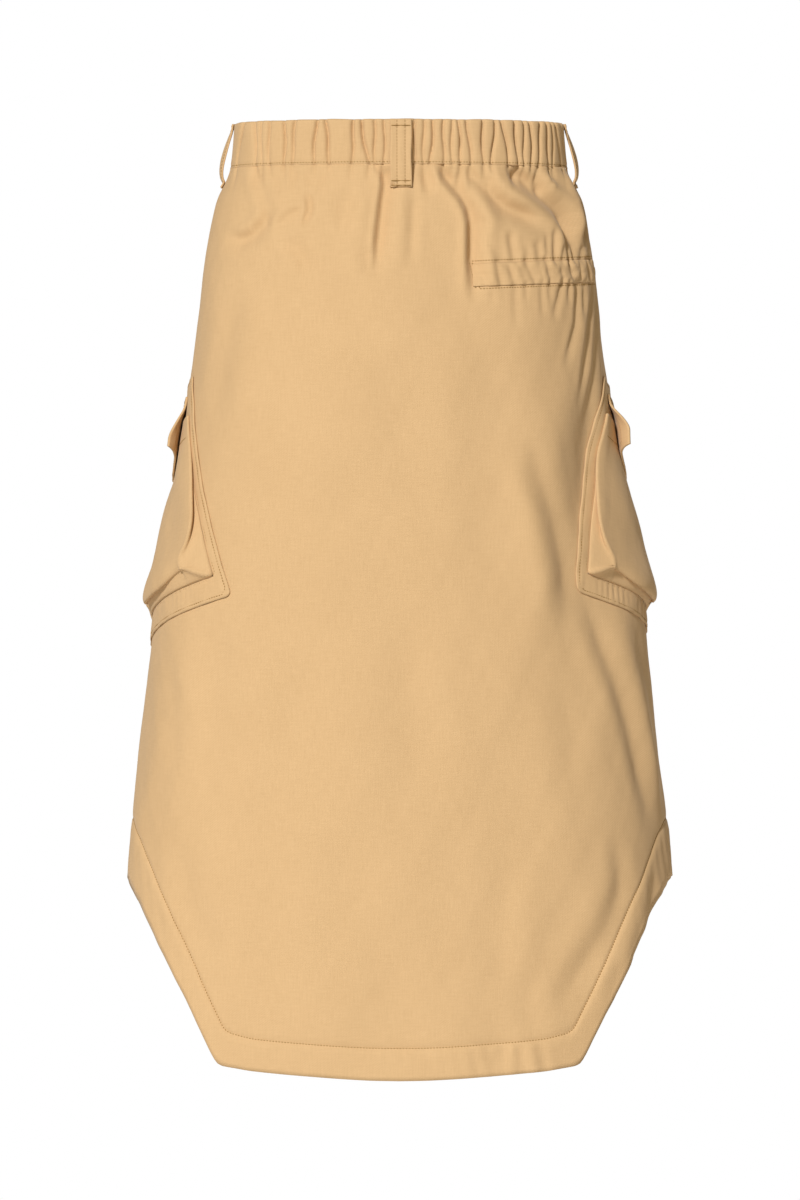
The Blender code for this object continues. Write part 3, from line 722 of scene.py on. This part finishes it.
def make_loop(loop):
    angle = math.radians(loop.degrees)
    low_seat, high_seat = loop.foot + LOOP_SEAT, LOOP_TOP - LOOP_SEAT

    def out_at(height):
        """How far out the loop lies flat: on the cloth's proudest place across the loop."""
        relief = panel_relief if height < WAIST_SEAM else band_surface
        reach = arc_at(angle, height) + LOOP_WIDTH * np.linspace(-0.6, 0.6, 13)
        return float(relief(reach, np.full_like(reach, height)).max()) + LAY_GAP

    def ring_at(height):
        x, y, normal_x, normal_y = ring(np.array(angle), np.array(height))
        normal = np.array((normal_x, normal_y))
        return np.array((x, y)) + normal * out_at(height), normal

    lower, upper = ring_at(low_seat)[0], ring_at(high_seat)[0]
    centres, normals = [], []
    for height in np.linspace(loop.foot, LOOP_TOP, LOOP_ROWS + 1):
        point, normal = ring_at(height)
        if low_seat < height < high_seat:
            t = (height - low_seat) / (high_seat - low_seat)
            point = mix(lower, upper, t) + normal * loop.bow * math.sin(math.pi * t**LOOP_BOW_LOW)
        centres.append((*point, height))
        normals.append((*normal, 0.0))
    centres = np.array(centres)
    across, up = grid(LOOP_COLUMNS, LOOP_ROWS)
    turn = math.radians(loop.turn) * np.sin(math.pi * up[:, 0])
    x, y, level = np.array(normals).T
    x, y = x * np.cos(turn) - y * np.sin(turn), x * np.sin(turn) + y * np.cos(turn)
    normals, aside = np.stack((x, y, level), -1), np.stack((-y, x, level), -1)

    offset = (across - 0.5) * LOOP_WIDTH
    heights = np.repeat(centres[:, 2:], LOOP_COLUMNS + 1, axis=1)
    middles, proudest = np.array([(arc_at(angle, h), out_at(h)) for h in centres[:, 2]]).T
    near_end = np.minimum(heights - loop.foot, LOOP_TOP - heights) / LOOP_SEAT
    arcs = middles[:, None] + offset
    seated = np.where(heights < WAIST_SEAM, panel_relief(arcs, heights), band_surface(arcs, heights))
    drop = (seated + LAY_GAP - proudest[:, None]) * (1 - eased(near_end))
    crown = 0.25 * np.cos(offset / LOOP_WIDTH * math.pi * 4)
    groove = -0.3 * np.exp(-(((np.abs(offset) - LOOP_STITCH) / 0.9) ** 2))
    wave = 0.3 * np.sin(up * 9 + loop.degrees)
    points = (
        centres[:, None, :] + aside[:, None, :] * (offset + wave)[..., None]
        + normals[:, None, :] * (crown + groove + drop)[..., None]
    )
    length = float(np.linalg.norm(np.diff(centres, axis=0), axis=1).sum()) * MM
    cloth_piece(loop.name, points, (offset + loop.degrees * 7, points[..., 2]), LOOP_WALL, True,
                flat=(LOOP_WIDTH * MM, round(length, 3)), held="stretched")

    lift = LOOP_WALL + THREAD_OUT
    paths = [(centres + aside * place + normals * (lift - LOOP_THREAD_SUNK), normals)
             for place in (-LOOP_STITCH, LOOP_STITCH)]
    stitching(loop.name + "_stitching", paths, pitch=2.9, length=2.2, wide=0.5)
    bars = []
    for height in (loop.foot + 2.0, loop.foot + 5.5, LOOP_TOP - 5.5):
        row = np.argmin(np.abs(centres[:, 2] - height))
        ends = [centres[row] + aside[row] * x + normals[row] * lift for x in (-LOOP_TACK, LOOP_TACK)]
        bars.append((np.array(ends), normals[[row, row]]))
    stitching(loop.name + "_bar_tacks", bars, pitch=1.25, length=1.5, wide=1.0)


for each_loop in LOOPS:
    make_loop(each_loop)

# ==== Back welt pocket
WELT_ENDS, WELT_UPPER = (67, 218), (-110, -102.5)
WELT_HEIGHT, WELT_WALL = 20, 0.8


def welt_line(across, below):
    """Arc and height on the welt: across 0 to 1, below in millimetres from its upper edge."""
    return mix(*WELT_ENDS, across), mix(*WELT_UPPER, across) - below


def make_welt():
    across, up = grid(150, 22)
    arc, height = welt_line(across, WELT_HEIGHT * (1 - up))
    pucker = 0.25 * np.sin(arc / 2.6 + height / 5.5 + 1.4 * np.sin(arc / 17)) * np.sin(math.pi * up)
    edge = np.minimum(up, 1 - up) * WELT_HEIGHT
    roll = -0.4 * np.exp(-((edge / 0.9) ** 2))
    points = on_panel(arc, height, LAY_GAP + 0.3 + pucker + roll)
    cloth_piece("pocket_welt", points, (height, arc), WELT_WALL, True,
                flat=(0.151, 0.020), held="stretched", rests_on=["back_panel_cloth"])

    def row(across, below):
        arc, height = welt_line(across, below)
        return stitch_row(lambda out: on_panel(arc, height, out), THREAD_OUT)

    paths = []
    for start, below in ((-0.005, -3.0), (0.035, WELT_HEIGHT + 2.2)):
        across = np.linspace(start, 1.03, 80)
        paths.append(row(across, np.full_like(across, below)))
    below = np.linspace(-2.0, WELT_HEIGHT + 2.0, 24)
    paths += [row(aside + below / 20 * 0.03, below) for aside in (-0.016, 0.004)]
    stitching("pocket_welt_stitching", paths)


make_welt()

# ==== Cargo pockets
POCKET_CORNER = (30, -208)
POCKET_SLANT = math.radians(16)
Pocket = namedtuple(
    "Pocket",
    "suffix side height bag_bottom bag_inset bottom_in flap_inset curl curl_run pucker",
)
POCKETS = (
    Pocket("left", -1, 219, 196, 11, 6, 12, 11, 32, 0.25),
    Pocket("right", 1, 211, 191, 13, 3, 5, 14.5, 25, 0.6),
)
# distance down, the back edge's place across on the left pocket, on the right pocket
BACK_EDGES = np.array((
    (0, -1, -1),
    (25, -9, -15),
    (66, -18.5, -27),
    (106, -28, -33.5),
    (156, -39.5, -40.5),
    (190, -47, -41),
    (220, -53.5, -37),
))
PATCH_WIDTH, PATCH_CORNER, PATCH_STITCH = 135, 6, 3.2
FRONT_FLARE = math.radians(4)
PATCH_OUT = LAY_GAP + CLOTH
BAG_MOUTH, MOUTH_HEM = 37, 58
# distance down; how far the bag's face stands off; how far its edge lies in from the seam, left
# and right: the face overhangs its seam near the mouth and is pulled well in at the bottom corner;
# how far its middle sags, left and right; how far its gusset tucks in under its edge
BAG_SHAPE = np.array((
    (37, 2.8, -1.5, -1.5, 0, 0.5, 2),
    (70, 2.8, -3.5, -3.5, 0, 1, 5.5),
    (100, 5.2, -3.5, -3.5, 1, 1, 6.5),
    (125, 8, -1.5, -2, 3.2, 1.2, 6.5),
    (142, 9.8, 2.5, 2, 4.6, 2, 6),
    (158, 11.8, 10.5, 10, 5, 2.6, 5),
    (172, 13, 23, 21, 3, 2, 4),
    (186, 13.2, 28, 27, 1.5, 1, 3),
    (200, 13.2, 30, 29, 1, 0.5, 3),
))
BAG_GUSSET, BAG_FACE = 16, 84
BAG_BOTTOM_GUSSET, BAG_FACE_ROWS = 14, 110
FACE_ROUND = 8
# how much more of the gusset shows below the face near its corners, and how near
BOTTOM_IN_CORNER, BOTTOM_CORNER = 9, 20
BOTTOM_TUCK, BOTTOM_ROLL = 5, 3.5
CORNER_RIDGE = 2.6
FLAP_SEAM, FLAP_SIDE, FLAP_POINT = 15, 46, 61
FLAP_WIDTH, FLAP_TIP, FLAP_WALL = 102, 0.25, 1.8
FLAP_OVER_MOUTH, FLAP_STITCH = 22, 6.5
FLAP_CURL_START, FLAP_CURL_SHARPNESS = 8, 7
# the pieces lie this far apart on the cloth, so that no two show the same weave
PATCH_UV, FLAP_UV, BAG_UV = 500, 700, 900


def pocket_point(pocket, across, down, out):
    """A point of a pocket: across from its back edge and down, both in the pocket's own slant."""
    from_seam = POCKET_CORNER[0] - across * math.cos(POCKET_SLANT) + down * math.sin(POCKET_SLANT)
    height = POCKET_CORNER[1] - across * math.sin(POCKET_SLANT) - down * math.cos(POCKET_SLANT)
    return on_panel(pocket.side * (side_arc(height) - from_seam), height, out)


def patch_edges(pocket, down, inset=0.0):
    """Places across of the patch's back and front edges, or of a line this far inside them."""
    back = smooth_table(BACK_EDGES, 1 + (pocket.side > 0), down) + inset
    return back, PATCH_WIDTH + down * math.tan(FRONT_FLARE) - inset


def gusset_profile(share):
    """Out and tuck shares of a bellows gusset from its seam (0) to the face's edge (1)."""
    return share**0.8, np.sin(math.pi * np.clip(share, 0, 1)) ** 1.3


def face_swell(pocket, down, middle):
    """How far the bag's face stands out of its even depth: dents, and the sag of its middle."""
    dent = 1.2 * np.sin(middle * 9 + down / 40 + pocket.side) * np.sin(down / 43 + pocket.side)
    sag = smooth_table(BAG_SHAPE, 4 + (pocket.side > 0), down)
    return dent - sag * np.sin(math.pi * middle)


def bag_grid(pocket):
    """Across, down and out of the bag's cloth: back gusset, face, front gusset; mouth to bottom."""
    back_side = np.linspace(0, 1, BAG_GUSSET + 1)
    face = np.linspace(0, 1, BAG_FACE + 1)[1:-1]
    side = np.r_[back_side, np.ones(len(face)), back_side[::-1]]
    across_share = np.r_[np.zeros(BAG_GUSSET + 1), face, np.ones(BAG_GUSSET + 1)]
    bottom = np.r_[np.ones(BAG_FACE_ROWS), np.linspace(1, 0, BAG_BOTTOM_GUSSET + 1)[1:]]
    down_share = np.r_[np.linspace(0, 1, BAG_FACE_ROWS), np.ones(BAG_BOTTOM_GUSSET)]
    side, bottom = np.meshgrid(side, bottom)
    across_share, down_share = np.meshgrid(across_share, down_share)

    corner = np.minimum(across_share, 1 - across_share) * 100 / BOTTOM_CORNER
    bottom_in = pocket.bottom_in + BOTTOM_IN_CORNER * np.exp(-(corner**2))
    bottom_edge = pocket.bag_bottom - bottom_in
    down = mix(BAG_MOUTH, bottom_edge, down_share) + bottom_in * (1 - bottom)
    back, front = patch_edges(pocket, down, pocket.bag_inset)
    depth = smooth_table(BAG_SHAPE, 1, down)
    edge_in = smooth_table(BAG_SHAPE, 2 + (pocket.side > 0), down)
    foot = PATCH_OUT + LAY_GAP
    lift, tuck = gusset_profile(side)
    bottom_lift, bottom_tuck = gusset_profile(bottom)
    inward = edge_in * side + smooth_table(BAG_SHAPE, 6, down) * tuck * np.sqrt(bottom)
    place = mix(back + inward, front - inward, across_share)
    down = down - BOTTOM_TUCK * bottom_tuck * side
    out = foot + (depth - foot) * np.minimum(lift, bottom_lift)
    ridge = np.exp(-(((side - bottom) / 0.16) ** 2)) * (side < 1) * (bottom < 1)
    out = out + CORNER_RIDGE * ridge * np.sin(math.pi * np.sqrt(np.minimum(side, bottom)))

    on_face = np.clip(np.minimum(place - back - edge_in, front - edge_in - place), 0, None)
    rounded = (1 - np.exp(-on_face / FACE_ROUND)) * (side == 1)
    middle = np.clip((place - back) / (front - back), 0, 1)
    above_bottom = np.clip(bottom_edge - down, 0, None)
    swell = face_swell(pocket, down, middle) * (1 - np.exp(-above_bottom / 9.0))
    roll = BOTTOM_ROLL * np.exp(-above_bottom / 4.0)
    out = out + rounded * swell - roll * (side == 1) * bottom
    out = out + 0.5 * np.exp(-((on_face / 1.6) ** 2)) * (side == 1) * (bottom == 1)
    return place, down, out


def bag_face_out(pocket, place, down):
    """How far out the bag's face is at places on it, for stitches."""
    grid_place, grid_down, grid_out = (values.ravel() for values in bag_grid(pocket))
    away = (grid_place - place[:, None]) ** 2 + (grid_down - down[:, None]) ** 2
    return grid_out[np.argmin(away, axis=1)]


def flap_out(pocket, place, down):
    """How far out the flap's inner face is: on the patch at its seam, then over the bag."""
    along = down - FLAP_SEAM
    from_middle = np.abs((pocket.flap_inset + FLAP_WIDTH / 2 - place) / (FLAP_WIDTH / 2))
    on_bag = np.maximum(down, BAG_MOUTH)
    back, front = patch_edges(pocket, on_bag, pocket.bag_inset)
    middle = np.clip((place - back) / (front - back), 0, 1)
    rounded = 1 - np.exp(-np.maximum(place - back, 0) / FACE_ROUND)
    swell = face_swell(pocket, on_bag, middle) * rounded
    over_bag = smooth_table(BAG_SHAPE, 1, on_bag) + CLOTH + 0.6 + swell
    out = mix(PATCH_OUT + LAY_GAP, over_bag, eased(along / FLAP_OVER_MOUTH))
    curl = pocket.curl * from_middle**FLAP_CURL_SHARPNESS
    curl = curl * eased((along - FLAP_CURL_START) / pocket.curl_run)
    return out + curl + 0.5 * np.sin(place / 12 + 1.8 * pocket.side) * eased(along / 20)


def make_patch(pocket):
    across, up = grid(110, 110)
    down = pocket.height * (1 - up)
    back, front = patch_edges(pocket, down)
    place = mix(front, back, across)
    edge = np.minimum(np.minimum(place - back, front - place), np.minimum(down, pocket.height - down))
    corner = np.clip(1 - np.hypot(place - back, pocket.height - down) / PATCH_CORNER, 0, 1)
    down = down - 2.0 * corner**2
    place = place + 1.6 * corner**2
    out = LAY_GAP + 0.35 * eased(edge / 1.2) - 0.4 * np.exp(-(((edge - PATCH_STITCH) / 1.3) ** 2))
    out = out + 0.25 * np.sin(place / 3.7 + down / 4.1) * np.exp(-edge / 9)
    below_bag = np.exp(-(((down - pocket.bag_bottom - 9) / 8) ** 2))
    uneven = 0.6 + 0.5 * np.sin(place / 9 + 1)
    out = out + pocket.pucker * uneven * np.sin(place * 0.8 + 2.6 * np.sin(place / 17)) * below_bag
    points = pocket_point(pocket, place, down, out)
    cloth_piece(f"cargo_patch_{pocket.suffix}", points, (place + PATCH_UV * pocket.side, -down),
                CLOTH, True, pocket.side > 0,
                flat=(0.185, round(pocket.height * MM, 3)), held="stretched")


def make_bag(pocket):
    place, down, out = (values[::-1, ::-1] for values in bag_grid(pocket))
    points = pocket_point(pocket, place, down, out)
    cloth_uv = (place + BAG_UV * pocket.side, -down + out)
    cloth_piece(f"cargo_pocket_{pocket.suffix}", points, cloth_uv, CLOTH, True, pocket.side > 0,
                flat=(0.190, 0.175), held="stretched")


def make_flap(pocket):
    across, up = grid(96, 60)
    from_middle = np.abs(across * 2 - 1)
    taper = np.clip((from_middle - FLAP_TIP) / (1 - FLAP_TIP), 0, 1)
    length = mix(FLAP_POINT, FLAP_SIDE, taper)
    down = FLAP_SEAM + length * (1 - up)
    place = pocket.flap_inset + FLAP_WIDTH * (1 - across)
    edge = np.minimum(FLAP_WIDTH / 2 * (1 - from_middle), length * up)
    groove = -0.35 * np.exp(-(((edge - FLAP_STITCH) / 1.2) ** 2))
    points = pocket_point(pocket, place, down, flap_out(pocket, place, down) + groove)
    cloth_uv = (place + FLAP_UV * pocket.side, -down)
    cloth_piece(f"cargo_flap_{pocket.suffix}", points, cloth_uv, FLAP_WALL, True, pocket.side > 0,
                flat=(0.102, 0.061), held="hung", area=0.0056)


def make_pocket_stitching(pocket):
    def line(corners, out):
        """Stitches along straight runs between corners given as (across, down)."""
        corners = np.array(corners, float)
        runs = [np.linspace(a, b, 40) for a, b in zip(corners, corners[1:])]
        place, down = np.concatenate(runs).T
        level = out(pocket, place, down)
        return stitch_row(lambda out: pocket_point(pocket, place, down, out), level)

    def back_run(first, last, inset):
        downs = np.linspace(first, last, 12)
        return list(zip(patch_edges(pocket, downs, inset)[0], downs))

    def front_run(first, last, inset):
        return [(patch_edges(pocket, down, inset)[1], down) for down in (first, last)]

    def on_patch(*_):
        return PATCH_OUT + 0.05

    inset, low = PATCH_STITCH, pocket.height - PATCH_STITCH
    around = back_run(inset, low - 5, inset) + [(patch_edges(pocket, low, 8.0)[0], low)]
    around += front_run(low, inset, inset) + [around[0]]
    inset, low = pocket.bag_inset - 2.2, pocket.bag_bottom + 2.5
    seam = back_run(BAG_MOUTH, low - 5, inset)
    seam += [(patch_edges(pocket, low, pocket.bag_inset + 3)[0], low)]
    seam += front_run(low, BAG_MOUTH, inset)
    stitching(f"cargo_patch_{pocket.suffix}_stitching",
              [line(around, on_patch), line(seam, on_patch)])

    back, front = patch_edges(pocket, MOUTH_HEM, pocket.bag_inset)
    hem = [(place, MOUTH_HEM) for place in np.linspace(back + 3, front - 3, 60)[::6]]
    on_bag = line(hem, lambda *place: bag_face_out(*place) + CLOTH + 0.1)
    stitching(f"cargo_pocket_{pocket.suffix}_stitching", [on_bag])

    left, right = pocket.flap_inset, pocket.flap_inset + FLAP_WIDTH
    tip = FLAP_WIDTH * (1 - FLAP_TIP) / 2 + 1
    base = FLAP_SEAM + 2.5
    side_low, point_low = FLAP_SEAM + FLAP_SIDE - 3.5, FLAP_SEAM + FLAP_POINT - FLAP_STITCH
    outline = [(left + FLAP_STITCH, base), (left + FLAP_STITCH, side_low), (left + tip, point_low),
               (right - tip, point_low), (right - FLAP_STITCH, side_low), (right - FLAP_STITCH, base)]
    seam = [(left + 1, base), (right - 1, base)]
    over = [line(run, lambda *place: flap_out(*place) + FLAP_WALL + 0.05) for run in (outline, seam)]
    under_points, under_normals = line(outline, lambda *place: flap_out(*place) - 0.05)
    stitching(f"cargo_flap_{pocket.suffix}_stitching", [*over, (under_points, -under_normals)])


for each_pocket in POCKETS:
    make_patch(each_pocket)
    make_bag(each_pocket)
    make_flap(each_pocket)
    make_pocket_stitching(each_pocket)


# ==== Waist seam and hem stitching
def make_seam_stitching():
    paths = []
    for first, last in ((-1.0, 1.0), (1.0, 3.0)):
        share = np.linspace(first, last, 900)
        level = np.full_like(share, WAIST_SEAM + BAND_STITCH_UP)
        side, front = side_arc(level), front_arc(level)
        arc = np.where(share < 1, share * side, side + (share - 1) * (front - side))
        arc = np.where(share > 2, -(side + (3 - share) * (front - side)), arc)
        out = band_surface(arc, level) + 0.05
        paths.append(stitch_row(lambda out: point_out(arc, level, out), out))
    stitching("waist_seam_stitching", paths)
    for name, front in (("back", False), ("front", True)):
        share = np.linspace(-1, 1, 1400)
        from_side = 1 - np.abs(share)
        level, _ = hem_heights(from_side)
        side, centre = side_arc(level), front_arc(level)
        arc = np.sign(share) * mix(side, centre, from_side) if front else share * side
        out = panel_relief(arc, level) + hem_relief(arc, level, from_side) + 0.1
        points, normals = stitch_row(lambda out: point_out(arc, level, out), out)
        cuts = [len(share) // 2] if front else []
        runs = list(zip(np.split(points, cuts), np.split(normals, cuts)))
        stitching(f"hem_stitching_{name}", runs)


make_seam_stitching()

# ==== Floor, light and camera (metres)
FLOOR_BELOW, FLOOR_COLOUR = -1.25, (0.93, 0.93, 0.93, 1)
WORLD_TINT, WORLD_FILL = (1, 0.81, 0.42, 1), 0.19
CAMERA_AWAY, CAMERA_HEIGHT, CENTRE_SHIFT = 8.0, -0.408, 0.0009
METRES_PER_PIXEL, PHOTO_HEIGHT = 0.0009, 1200


def make_floor():
    mesh = bpy.data.meshes.new("floor")
    corners = [(-9, -9), (9, -9), (9, 4), (-9, 4)]
    mesh.from_pydata([(x, y, FLOOR_BELOW) for x, y in corners], [], [(0, 1, 2, 3)])
    pale, _, _ = make_material("pale_floor", {"Base Color": FLOOR_COLOUR, "Roughness": 0.9})
    mesh.materials.append(pale)
    placed("floor", mesh)


def make_sun(name, azimuth, elevation, strength, soft):
    """A soft sun from this many degrees left of the camera and this high."""
    light = bpy.data.lights.new(name, "SUN")
    light.energy = strength
    light.angle = math.radians(soft)
    placed(name, light).rotation_euler = (math.radians(90 - elevation), 0, math.radians(-azimuth))


def make_light():
    """Two suns, and a world that is white to the camera and a dim warm fill to the cloth."""
    world = bpy.data.worlds.new("studio")
    bpy.context.scene.world = world
    world.use_nodes = True
    tree = world.node_tree
    seen = make_node(tree, "ShaderNodeLightPath").outputs["Is Camera Ray"]
    tint = make_node(
        tree, "ShaderNodeMix", {"Factor": seen, "A": WORLD_TINT, "B": (1, 1, 1, 1)},
        data_type="RGBA",
    )
    strength = make_node(
        tree, "ShaderNodeMapRange", {"Value": seen, "To Min": WORLD_FILL, "To Max": 1.0}
    )
    feed(tree, tree.nodes["Background"], {
        "Color": tint.outputs["Result"], "Strength": strength.outputs["Result"],
    })
    make_sun("key", azimuth=21, elevation=31, strength=3.2, soft=6)
    make_sun("fill", azimuth=184, elevation=16, strength=1.3, soft=25)
    bpy.context.scene.view_settings.view_transform = "Standard"


def make_camera():
    camera = bpy.data.cameras.new("camera")
    camera.sensor_fit = "VERTICAL"
    camera.sensor_height = 24.0
    camera.lens = camera.sensor_height * CAMERA_AWAY / (METRES_PER_PIXEL * PHOTO_HEIGHT)
    camera.clip_end = 200.0
    viewer = placed("camera", camera)
    viewer.location = (CENTRE_SHIFT, -CAMERA_AWAY, CAMERA_HEIGHT)
    viewer.rotation_euler = (math.radians(90), 0, 0)
    bpy.context.scene.camera = viewer


make_floor()
make_light()
make_camera()
